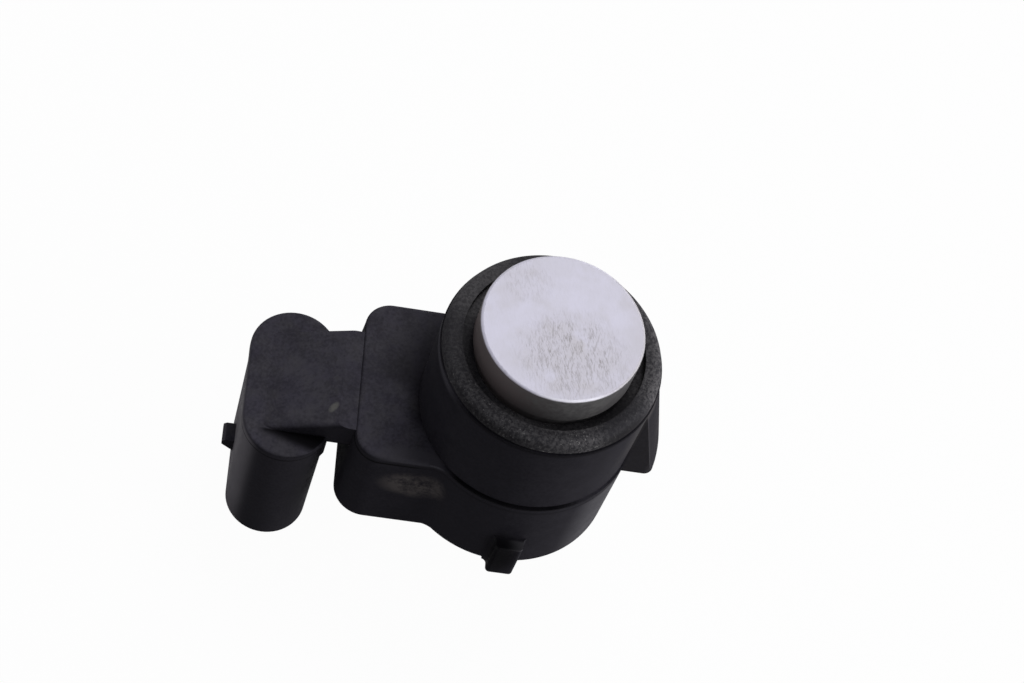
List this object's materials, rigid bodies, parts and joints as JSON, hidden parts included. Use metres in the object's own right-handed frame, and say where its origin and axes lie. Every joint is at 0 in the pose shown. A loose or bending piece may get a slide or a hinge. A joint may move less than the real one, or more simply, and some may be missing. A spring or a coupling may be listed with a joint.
{
  "type": "parking sensor",
  "caption": "Ultrasonic vehicle parking sensor: round barrel with a painted sensing face in a soft ring, side box of electronics, and an oval connector on a short neck.",
  "frame": {"origin": "centre of the flat back of the round case, on the barrel axis", "axes": "+Z along the barrel axis out of the sensing face, +X towards the snap wing and away from the connector, +Y to the side away from the key lug"},
  "size_m": [0.0414, 0.0228, 0.0355],
  "materials": {
    "housing_plastic": "fine matt grain",
    "case_plastic": "fine matt grain",
    "face_paint": "satin silver paint",
    "soft_ring": "matt, dusty",
    "ceramic": "matt",
    "foam": "matt",
    "sealant": "satin",
    "copper": "bright",
    "board": "gloss",
    "moulded_chip": "matt",
    "ferrite": "matt",
    "can": "satin",
    "film_block": "gloss",
    "tinned_brass": "bright"
  },
  "bodies": {
    "root": {"housing": "housing_plastic", "rear_case": "case_plastic", "membrane_cup": "face_paint", "decoupling_ring": "soft_ring", "piezo_disc": "ceramic", "damping_pad": "foam", "cup_fill": "sealant", "lead_signal": "copper", "lead_ground": "copper", "circuit_board": "board", "control_chip": "moulded_chip", "transformer_core": "ferrite", "transformer_coil": "copper", "supply_capacitor": "can", "tuning_capacitor": "film_block", "bus_capacitor": "ceramic", "diode": "moulded_chip", "chip_resistors": "moulded_chip", "terminal_supply": "tinned_brass", "terminal_signal": "tinned_brass", "terminal_ground": "tinned_brass"}
  },
  "joints": []
}
